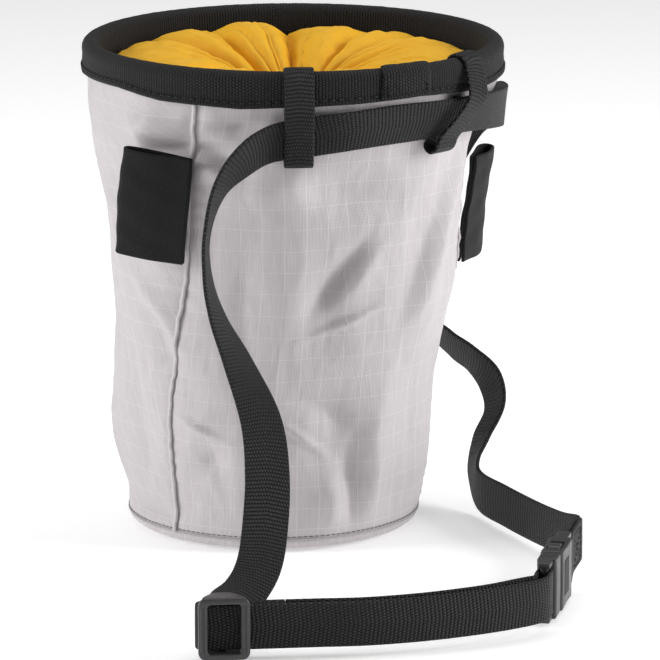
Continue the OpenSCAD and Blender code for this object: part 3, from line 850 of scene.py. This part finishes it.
# folds as lines of (angle, height), height of the fold (hollow if negative) and its half width
folds = [
    ([(-12, 124), (0, 129), (11, 131)], 2.4, 6), ([(3, 129), (22, 125), (45, 119)], -3.2, 10),
    ([(28, 109), (20, 98), (10, 85)], -2.2, 3.6), ([(32, 105), (25, 94), (17, 84)], 1.5, 4.2),
    ([(23, 82), (24, 79)], 2.0, 9), ([(73, 138), (59, 110), (51, 80)], 2.3, 6),
    ([(66, 137), (52, 108), (45, 82)], -1.9, 6), ([(82, 130), (70, 104), (66, 74)], -1.5, 7),
    ([(9, 39), (11, 42)], 1.6, 7), ([(29, 42), (18, 50), (9, 54)], -1.7, 5),
    ([(28, 34), (31, 8)], -2.0, 4.5), ([(22, 8), (22, 24)], 1.5, 6), ([(40, 10), (38, 40), (43, 62)], 1.4, 6),
    ([(-50, 147), (-40, 145.5), (-31, 144)], 2.6, 4.5), ([(-48, 137.5), (-37, 140), (-29, 143)], -3.0, 3.6),
    ([(-22, 150), (-7, 151)], -1.6, 3.4), ([(-28, 143), (-20, 139), (-12, 133)], -2.6, 3.6),
    ([(-26, 137), (-20, 132)], 1.3, 3.5), ([(-57, 92), (-45, 82), (-37, 70)], 2.0, 5),
    ([(-56, 84), (-46, 75), (-39, 62)], -1.6, 5), ([(-28, 42), (-27, 45)], 1.5, 6),
    ([(-23, 36), (-20, 28)], -1.4, 5), ([(-72, 8.5), (-56, 9.5), (-42, 8.5)], -1.6, 2.4),
    ([(-62, 60), (-58, 34), (-60, 14)], -1.3, 6),
    ([(-12, 110), (-14, 84), (-10, 60)], -1.5, 8), ([(2, 100), (0, 70), (-3, 48)], 1.2, 8),
    ([(16, 118), (14, 92), (18, 66)], -2.6, 17), ([(24, 52), (20, 20)], -1.8, 14),
    ([(60, 130), (56, 60)], 1.6, 15), ([(-14, 70), (-12, 20)], 1.4, 12), ([(60, 20), (58, 50)], -1.3, 7),
    ([(-80, 130), (-70, 112), (-66, 90)], 1.4, 6)]
picker = random.Random(shell["seed"])
for k in range(shell["farFolds"]):
    a, z = picker.uniform(104, 312), picker.uniform(14, 140)
    lean = picker.uniform(-16, 16)
    folds.append(([(a, z), (a + lean, z + picker.uniform(14, 34))],
                  picker.choice((-1, 1)) * picker.uniform(1.1, 2.1),
                  picker.uniform(3.6, 8)))


def ringAt(z, column):
    return np.interp(z, ringTable[:, 0], ringTable[:, column])


def lineDistance(x, y, line, radius):
    # distance to a line, and the place along it from 0 to 1
    best, place = np.full(np.shape(x), 1e9), np.zeros(np.shape(x))
    points = [(math.radians(a) * radius, z) for a, z in line]
    spans = [math.dist(p, q) for p, q in zip(points, points[1:])]
    done = 0
    for (ax, ay), (bx, by), span in zip(points, points[1:], spans):
        dx, dy = bx - ax, by - ay
        t = np.clip(((x - ax) * dx + (y - ay) * dy) / (dx * dx + dy * dy), 0, 1)
        d = np.hypot(x - ax - t * dx, y - ay - t * dy)
        place = np.where(d < best, (done + t * span) / sum(spans), place)
        best = np.minimum(best, d)
        done += span
    return best, place


def wallOffset(angle, z):
    # how far the cloth stands off its ring, by angle in degrees and height
    angle, z, mean = np.asarray(angle, float), np.asarray(z, float), shell["meanRadius"]
    offset = np.zeros(angle.shape)
    for line, height, width in folds:
        for turn in (-360, 0, 360):
            if line[0][0] + turn < -200 or line[0][0] + turn > 330:
                continue
            moved = [(a + turn, h) for a, h in line]
            d, place = lineDistance(np.radians(angle) * mean, z, moved, mean)
            fade = 0.3 + 0.7 * np.sin(np.pi * place)
            offset += (height * shell["foldDepth"] * fade
                       * np.exp(-(d / (width * (0.75 + 0.45 * fade))) ** 1.5))
    flat = offset.ravel()
    for i, (a, h) in enumerate(zip(angle.ravel(), z.ravel())):
        r = math.radians(a)
        p = Vector((math.sin(r) * mean, -math.cos(r) * mean, h))
        soft = noise.noise(p * 0.03 + Vector((3.1, 0, 0)))
        stretched = Vector((p.x * 0.08, p.y * 0.08, p.z * 0.045))
        crisp = 1 - abs(noise.noise(stretched)) * 2.6
        fine = 1 - abs(noise.noise(stretched * 2.3 + Vector((9, 4, 1)))) * 2.4
        flat[i] += (soft * shell["dent"] * 1.6 + crisp * shell["crumple"]
                    + fine * shell["crumple"] * 0.45 - 0.3)
        pucker = math.exp(-((h - 158) / 9) ** 2)
        flat[i] += pucker * 0.55 * noise.noise(Vector((math.sin(r) * 11, math.cos(r) * 11, h * 0.02)))
    offset = flat.reshape(angle.shape)
    left = ringAt(z, 3)
    for seam in (left, left + 360, np.full(z.shape, float(shell["rightSeam"]))):
        d = np.abs(angle - seam) * math.radians(mean)
        gathers = np.sin(z * 0.9 + 2 * np.sin(z * 0.21))
        offset += -0.7 * np.exp(-(d / 2.6) ** 2) + 0.22 * np.exp(-(d / 9) ** 2) * gathers
    hold = np.clip((z - 3) / 9, 0, 1) * np.clip((162 - z) / 12, 0.12, 1)
    return offset * hold


def wallPoints(angle, z, inset=0.0):
    offset = wallOffset(angle, z) - inset
    r, c, a = ringAt(z, 1) + offset, ringAt(z, 2), np.radians(angle)
    return np.stack([c + r * np.sin(a), -r * np.cos(a), z], axis=-1)


def wallPiece(name, startSeam, endSeam, columns, material, inset=0.0, low=2.6, high=None, levels=None):
    levels = levels or shell["levels"]
    z = np.linspace(low, high or shell["top"], levels)[:, None] * np.ones((1, columns + 1))
    share = np.ones((levels, 1)) * np.linspace(0, 1, columns + 1)[None, :]
    start, end = startSeam(z), endSeam(z)
    angle = start + (end - start) * share
    points = wallPoints(angle, z, inset) * mm
    u = np.radians(angle) * ringAt(z, 1) * mm
    uv = [[(u[i, j], z[i, j] * mm) for j in range(columns + 1)] for i in range(levels)]
    return gridSheet(name, points.tolist(), uv, material)


def leftSeamAt(z):
    return ringAt(z, 3)


def straightAt(angle):
    # a seam that stands at one angle all the way up
    return lambda z: np.full(np.shape(z), float(angle))


rightSeamAt = straightAt(shell["rightSeam"])
backCloth = wallPiece("backCloth", leftSeamAt, rightSeamAt, shell["columns"], shellCloth)
thicken(backCloth, shell["thickness"])
settle(backCloth, "bag", "shell_fabric", "back_panel")
frontCloth = wallPiece("frontCloth", rightSeamAt, lambda z: leftSeamAt(z) + 360, shell["backColumns"],
                       shellCloth)
thicken(frontCloth, shell["thickness"])
settle(frontCloth, "bag", "shell_fabric", "front_panel")

seamZ = np.linspace(4, 158, 120)
for name, seamAt, node in (("leftSeam", leftSeamAt, "left_side_seam"),
                           ("rightSeam", rightSeamAt, "right_side_seam")):
    a = seamAt(seamZ)
    spine = wallPoints(a, seamZ, -0.75)
    rows = [[*p, math.cos(math.radians(q)), math.sin(math.radians(q)), 0] for p, q in zip(spine, a)]
    ridge, _ = ribbon(name, rows, 1.7, 1.0, shellCloth, steps=6,
                      ripple=lambda s, x: 0.12 * math.sin(s * 1.9) + 0.1 * math.sin(s * 0.7))
    settle(ridge, "bag", "shell_fabric", node)
print("shell sewn")

# base: cloth disc that rolls up to meet the wall, and the welt line over the join
base = {"radius": 50.4, "sides": 240}
baseProfile = catmull([(0.5, 0.15), (15, 0.05), (30, 0), (42, 0), (45.5, 0.1), (48.2, 0.8), (49.9, 2.4),
                       (50.1, 3.6), (49.4, 4.0), (48.6, 3.2), (47.0, 2.0), (44, 1.5), (30, 1.4), (15, 1.4),
                       (0.5, 1.4)], 3)
grid, uv = [], []
for r, z in baseProfile:
    row, uvRow = [], []
    for j in range(base["sides"] + 1):
        a = 2 * math.pi * j / base["sides"]
        w = 1 + (0.010 * noise.noise(Vector((math.sin(a) * 2, math.cos(a) * 2, 0))) if r > 44 else 0)
        lift = (0.35 * noise.noise(Vector((r * math.sin(a) * 0.08, r * math.cos(a) * 0.08, 5)))
                if r < 44 else 0)
        row.append((r * w * math.sin(a) * mm, -r * w * math.cos(a) * mm, max(z + lift, 0) * mm))
        uvRow.append((row[-1][0], row[-1][1]))
    grid.append(row[:-1])
    uv.append(uvRow)
baseCloth = gridSheet("baseCloth", grid, uv, shellCloth, closed=True)
bm = bmesh.new()
bm.from_mesh(baseCloth.data)
bm.verts.ensure_lookup_table()
for first in (0, len(bm.verts) - base["sides"]):  # close the small holes in the middle
    bm.faces.new([bm.verts[first + j] for j in range(base["sides"])])
bmesh.ops.recalc_face_normals(bm, faces=bm.faces)
bm.to_mesh(baseCloth.data)
bm.free()
settle(baseCloth, "bag", "shell_fabric", "base_panel")
ringAngles = np.linspace(0, 360, 361)
baseWelt = torus("baseWelt", (0, 0, 4.1), 0, base["radius"] - 0.2, 0.5, seamThread, rings=240, sides=10)
settle(baseWelt, "bag", "welt_thread", "base_welt")
line = wallPoints(ringAngles, np.full(361, 5.0), -0.15)
outward = np.stack([np.sin(np.radians(ringAngles)), -np.cos(np.radians(ringAngles)), np.zeros(361)], axis=1)
settle(stitchRow("baseStitches", line, outward, weltThread, 2.0, 1.75, 0.15), "bag", "welt_thread")
print("base built")

# fleece inside
lining = {"inset": 1.9, "low": 5, "high": 158.2, "thickness": 1.3, "base": 0.7}
fleece = wallPiece("fleeceInside", straightAt(-180), straightAt(180), 150, fleeceCloth, inset=lining["inset"],
                   low=lining["low"], high=lining["high"], levels=60)
cleanMesh(fleece.data, 1e-6, outward=False)
thicken(fleece, lining["thickness"])
settle(fleece, "bag", "fleece", "fleece_liner")
linerGrid = [[(r * math.sin(a) * mm, -r * math.cos(a) * mm,
               (z + 0.3 * noise.noise(Vector((r * math.sin(a) * 0.1, r * math.cos(a) * 0.1, 2)))) * mm)
              for a in np.linspace(0, 2 * math.pi, 97)[:-1]] for r, z in
             ((0.4, 2.5), (12, 2.5), (24, 2.5), (36, 2.5), (44, 2.6), (46, 2.7))]
linerUv = [[(0.0, 0.0)] * 97 for row in linerGrid]
linerBase = gridSheet("fleeceBase", linerGrid, linerUv, fleeceCloth, closed=True)
thicken(linerBase, lining["base"], 0)
settle(linerBase, "bag", "fleece", "liner_base")

# rim: coated hoop in a folded tape
rim = {"centre": 7, "hoop": 69.4, "hoopZ": 166.5, "half": 3.1, "low": 158.4, "steps": 360, "wire": 1.6}
lowEdge = [(-180, 0), (-90, 0.4), (-54, 1.2), (-38, -0.7), (-25, -0.9), (-14, -1.3), (-4, -0.6), (9.5, -0.1),
           (23, 0.4), (35, 0.9), (46, 0.4), (58, -0.6), (80, 0.2), (120, -0.4), (180, 0)]


def lowEdgeAt(a):
    return rim["low"] + np.interp(a, [p[0] for p in lowEdge], [p[1] for p in lowEdge])


def tapeProfile(a):
    # closed section of the tape at an angle in degrees from -Y
    low = lowEdgeAt(a)
    r = math.radians(a)
    wob = 0.22 * noise.noise(Vector((math.sin(r) * 9, math.cos(r) * 9, 0)))
    fine = 0.1 * noise.noise(Vector((math.sin(r) * 34, math.cos(r) * 34, 3)))
    out = [(72.75 + wob, low), (72.95 + wob, low + 1.0), (72.5 + wob - 0.25, low + 2.0),
           (72.5 + wob, low + 3.4), (72.35 + wob * 0.6, low + 5.4)]
    over = [(rim["hoop"] + (rim["half"] + fine) * math.cos(math.radians(t)),
             rim["hoopZ"] + (rim["half"] + fine) * math.sin(math.radians(t))) for t in range(0, 181, 18)]
    inn = [(66.2, 164.2), (66.0 + wob, 162.0), (66.3 + wob, 160.6), (66.0 + wob, low + 0.9),
           (66.3, low + 0.1)]
    back = [(67.2, low + 0.1), (67.3, low + 1.5), (67.3, 162.5)]
    under = [(rim["hoop"] + 2.0 * math.cos(math.radians(t)), rim["hoopZ"] + 2.0 * math.sin(math.radians(t)))
             for t in range(180, -1, -30)]
    close = [(71.5, 162.5), (71.6 + wob, low + 1.5), (71.7 + wob, low)]
    return out + over + inn + back + under + close


angles = [-180 + 360 * j / rim["steps"] for j in range(rim["steps"])]
sections = [tapeProfile(a) for a in angles]
count = len(sections[0])
girth = [0]
for k in range(count):
    girth.append(girth[-1] + math.dist(sections[0][k], sections[0][(k + 1) % count]))
tapeGrid, tapeUv = [], []
for k in range(count + 1):
    tapeGrid.append([((rim["centre"] + s[k % count][0] * math.sin(math.radians(a))) * mm,
                      -s[k % count][0] * math.cos(math.radians(a)) * mm, s[k % count][1] * mm)
                     for s, a in zip(sections, angles)])
    tapeUv.append([(girth[k] * mm, math.radians(360 * j / rim["steps"]) * 72 * mm)
                   for j in range(rim["steps"] + 1)])
rimTape = gridSheet("rimBinding", tapeGrid, tapeUv, bindingWebbing, closed=True)
cleanMesh(rimTape.data, 1e-6)
settle(rimTape, "bag", "binding_webbing", "rim_binding")


def onRim(a, r, z):
    a = math.radians(a)
    return [rim["centre"] + r * math.sin(a), -r * math.cos(a), z]


def rimNormal(a, sign=1):
    return [sign * math.sin(math.radians(a)), -sign * math.cos(math.radians(a)), 0]


spread = np.linspace(-180, 180, 361)
for name, radius, sign in (("rimStitchesOut", 72.75, 1), ("rimStitchesIn", 66.0, -1)):
    row = stitchRow(name, [onRim(a, radius, z + 1.9) for a, z in zip(spread, lowEdgeAt(spread))],
                    [rimNormal(a, sign) for a in spread], hemThread, 3.0, 2.2, 0.26)
    settle(row, "bag", "welt_thread")
join = {"from": 24, "to": 39, "lift": 0.55, "thickness": 0.9}
joinGrid, joinUv = [], []
for k in range(27):
    t = k / 26
    row, uvRow = [], []
    for j in range(33):
        a = join["from"] + (join["to"] - join["from"]) * j / 32 + 1.2 * (t - 0.5)
        face = catmull(tapeProfile(a)[:11], 4)
        spot = face[int(round(2 + t * (len(face) - 3)))]
        away = np.array([spot[0] - rim["hoop"], max(spot[1] - rim["hoopZ"], 0)])
        away = away / max(np.linalg.norm(away), 1e-6)
        edge = min(j, 32 - j, 3) / 3
        lift = join["lift"] * (0.35 + 0.65 * edge) + 0.2 * noise.noise(Vector((a * 0.35, t * 3, 0)))
        row.append([x * mm for x in onRim(a, spot[0] + away[0] * lift, spot[1] + away[1] * lift)])
        uvRow.append((t * 0.014, math.radians(a) * 0.073))
    joinGrid.append(row)
    joinUv.append(uvRow)
binding = gridSheet("bindingJoin", joinGrid, joinUv, bindingWebbing)
thicken(binding, join["thickness"], 0)
settle(binding, "bag", "binding_webbing", "binding_join")
for k, a in enumerate((join["from"] + 1.6, join["to"] - 1.6)):
    settle(stitchRow("joinTack" + "AB"[k], [onRim(a, 73.75, z) for z in np.linspace(159.6, 165.4, 20)],
                     [rimNormal(a)] * 20, hemThread, 1.5, 1.25, 0.24), "bag", "binding_webbing")
hoop = torus("rimHoop", (rim["centre"], 0, rim["hoopZ"]), 0, rim["hoop"], rim["wire"], hoopWire, rings=240,
             sides=16)
settle(hoop, "bag", "hoop_wire", "rim_hoop")
print("rim bound")

# collar: gathered nylon from the rim in to the drawcord hem
collar = {"flat": (0.415, 0.066), "area": 0.0215, "rows": 64, "columns": 620, "seed": 5, "hem": 7.6,
          "hemZ": 146.6, "thickness": 0.35, "tucks": 44}
collarProfile = catmull([(66, 153.5), (65.3, 157), (61.5, 160.4), (52, 162.2), (42, 161.6), (30, 158.6),
                         (18, 153.2), (11.2, 148.9), (10.2, 147.2)], 8)
profileRun = np.concatenate([[0], np.cumsum(np.hypot(*np.diff(collarProfile, axis=0).T))])
profileRun /= profileRun[-1]
picker = random.Random(collar["seed"])
pleats = [12, 38, 66, 90, 108, 129, 150, 181, 214, 239, 262, 288, 318, 345]
pleatDrift = [picker.uniform(-8, 8) for p in pleats]
pleatPuff = [1, 1, 0.9, 0.8, 0.9, 0.8, 0.9, 1.5, 1.1, 0.9, 0.9, 1, 1, 1]
tucks = sorted(picker.uniform(0, 360) for k in range(collar["tucks"]))


def lobes(angle, lines):
    # 0 at a crease, 1 in the middle between two creases, and which lobe it is
    lines = sorted(x % 360 for x in lines)
    angle %= 360
    for k in range(len(lines)):
        start, end = lines[k], lines[(k + 1) % len(lines)] + (360 if k == len(lines) - 1 else 0)
        for shifted in (angle, angle + 360):
            if start <= shifted < end:
                return min(shifted - start, end - shifted) / max((end - start) / 2, 1e-6), k, end - start
    return 0, 0, 1


grid, uv = [], []
for i in range(collar["rows"] + 1):
    t = i / collar["rows"]
    r = np.interp(t, profileRun, collarProfile[:, 0])
    z = np.interp(t, profileRun, collarProfile[:, 1])
    lines = [p + d * t * t + 3.5 * noise.noise(Vector((p, t * 2.2, 4))) for p, d in zip(pleats, pleatDrift)]
    fineLines = [p + 5 * noise.noise(Vector((p, t * 3, 9))) * t for p in tucks]
    depth = np.interp(t, [0, 0.06, 0.18, 0.45, 0.75, 0.93, 1], [0, 0.7, 4.2, 7.6, 6.6, 3, 1.4])
    fineDepth = np.interp(t, [0, 0.2, 0.5, 0.85, 1], [0, 0.5, 1.9, 2.2, 0.9])
    row, uvRow = [], []
    for j in range(collar["columns"]):
        a = 360 * j / collar["columns"]
        s, k, span = lobes(a, lines)
        f, _, fineSpan = lobes(a, fineLines)
        puff = pleatPuff[k % len(pleatPuff)] * min(1, span / 20)
        crown = (1 - (1 - min(s, 1)) ** 3.2)
        rise = (depth * puff * (crown - 0.62)
                + fineDepth * min(1, fineSpan / 8) * (1 - (1 - min(f, 1)) ** 2 - 0.5))
        rad = math.radians(a)
        p = Vector((math.sin(rad) * r, math.cos(rad) * r, 0))
        rise += np.interp(t, [0, 0.15, 0.8, 1], [0, 1, 1, 0]) * (
            1.5 * noise.noise(p * 0.045 + Vector((0, 0, 3))) + 0.7 * noise.noise(p * 0.13) +
            0.35 * (1 - 2.5 * abs(noise.noise(p * 0.2 + Vector((5, 0, 0))))))
        rise = max(rise, -4.5)
        shift = 1 + 0.012 * noise.noise(p * 0.07 + Vector((0, 7, 0))) * (1 if 0.1 < t < 0.95 else 0)
        row.append((onRim(a, r * shift, z + rise)[0] * mm, onRim(a, r * shift, 0)[1] * mm, (z + rise) * mm))
        uvRow.append((a / 360 * collar["flat"][0], t * collar["flat"][1]))
    uvRow.append((collar["flat"][0], t * collar["flat"][1]))
    grid.append(row)
    uv.append(uvRow)
collarSheet = gridSheet("collarSheet", grid, uv, collarCloth, closed=True)
thicken(collarSheet, collar["thickness"], 0)
settle(collarSheet, "bag", "collar_fabric", "collar")
hem = torus("collarHem", (rim["centre"], 0, collar["hemZ"]), 0, collar["hem"], 2.3, collarCloth, 19, 0.13,
            rings=228, sides=22)
settle(hem, "bag", "collar_fabric", "collar_hem")
drawLoop = torus("drawcordLoop", (rim["centre"], 0, collar["hemZ"]), 0, collar["hem"], 1.15, cordBraid,
                 rings=120, sides=12)
settle(drawLoop, "bag", "cord", "drawcord")
eyelet = torus("cordEyelet", (rim["centre"], 15, 153.2), 25, 3, 0.9, eyeletPlastic, rings=48, sides=14)
settle(eyelet, "bag", "eyelet_plastic", "cord_eyelet")
print("collar gathered")


# belt loops over the rim
def roundBag(a, r, z):
    a = math.radians(a)
    return [5 + r * math.sin(a), -r * math.cos(a), z, math.cos(a), math.sin(a), 0]


def overHoop(r):
    # the last rows of a loop: up the outside of the rim, over it and down inside
    return [(r + 3.9, hoopZ), (r + 2.8, hoopZ + 2.8), (r, hoopZ + 3.9), (r - 2.8, hoopZ + 2.8),
            (r - 3.9, hoopZ), (r - 3.9, 162)]


def beltLoop(name, rows, node):
    loop = ribbon(name, rows, belt["loopWidth"], belt["loopThickness"], loopWebbing, steps=10, count=6,
                  edge=0.02)[0]
    settle(loop, "bag", "loop_webbing", node)


hoopZ = rim["hoopZ"]
leftLoopRows = [roundBag(3, r, z) for r, z in (
    (71.6, 157.4), (70.9, 154), (68.6, 147), (66.5, 140.6), (66.4, 138.2), (67.8, 137.2), (69.5, 138.4),
    (70.4, 141.5), (72.1, 147), (74.2, 154.5), (73.9, 160), *overHoop(rim["hoop"]))]
beltLoop("leftBeltLoop", leftLoopRows, "left_belt_loop")
rightLoopRows = [roundBag(*p) for p in (
    (53.6, 72.6, 155.9), (53.1, 71.9, 153.9), (51, 69.4, 149.5), (49.5, 66.6, 143), (48.5, 66.1, 139.6),
    (48, 68.4, 138.2), (48, 71, 139.6), (48.5, 72.6, 143.5), (51, 76, 149.5), (53.5, 79, 156.5),
    (55.5, 77.2, 162), *((56.5, r, z) for r, z in overHoop(rim["hoop"] + 1.7)))]
beltLoop("rightBeltLoop", rightLoopRows, "right_belt_loop")

# brush loops: wide elastic folded double, with both ends in a side seam
brush = {"height": 38, "thickness": 1.1, "lean": 7, "slant": -8, "leftTurn": 159, "rightTurn": -79}
elasticRows = [(0.6, 0), (6, -0.1), (12, -0.3), (19, -0.2), (23, 0.5), (24.4, 2.1), (23, 3.7), (18, 4.2),
               (12, 3.8), (6, 2.4), (0.6, 1.3)]
lean = Matrix.Rotation(math.radians(-brush["lean"]), 4, "X")
slant = Matrix.Rotation(math.radians(brush["slant"]), 4, "Y")
turnLeft, turnRight = (Matrix.Rotation(math.radians(brush[key]), 4, "Z") for key in ("leftTurn", "rightTurn"))
mirrored = Matrix.Diagonal((1, -1, 1, 1))
onLeftSeam = Matrix.Translation((-29.6, -53.9, 101)) @ turnLeft @ slant @ lean
onRightSeam = Matrix.Translation((64.2, 8.5, 88.5)) @ mirrored @ turnRight @ lean
for name, matrix, node in (("leftBrushLoop", onLeftSeam, "left_brush_loop"),
                           ("rightBrushLoop", onRightSeam, "right_brush_loop")):
    rows = [[*(matrix @ Vector((x, y, brush["height"] / 2))), *(matrix.to_3x3() @ Vector((0, 0, 1)))]
            for x, y in elasticRows]
    loop = ribbon(name, rows, brush["height"], brush["thickness"], elasticWebbing, steps=40, count=6,
                  ripple=lambda s, x: (0.35 * math.sin(x * 0.17 + s * 0.05)
                                       + 0.12 * math.sin(x * 0.6 + s * 0.3)))[0]
    settle(loop, "bag", "elastic", node)
print("loops sewn on")

# floor
floorMesh = bpy.data.meshes.new("floor")
floorMesh.from_pydata([(-4, -4, 0), (4, -4, 0), (4, 4, 0), (-4, 4, 0)], [], [(0, 1, 2, 3)])
floor = bpy.data.objects.new("floor", floorMesh)
bpy.context.scene.collection.objects.link(floor)
floor.location.z = cadBox[0][2] - 0.0003
floorPaint, _, floorShader = startMaterial("paleFloor", (0.93, 0.93, 0.93), 0.9, specular=0.1)
floorShader.inputs["Emission Color"].default_value = (1, 1, 1, 1)
floorShader.inputs["Emission Strength"].default_value = 0.32
floorMesh.materials.append(floorPaint)
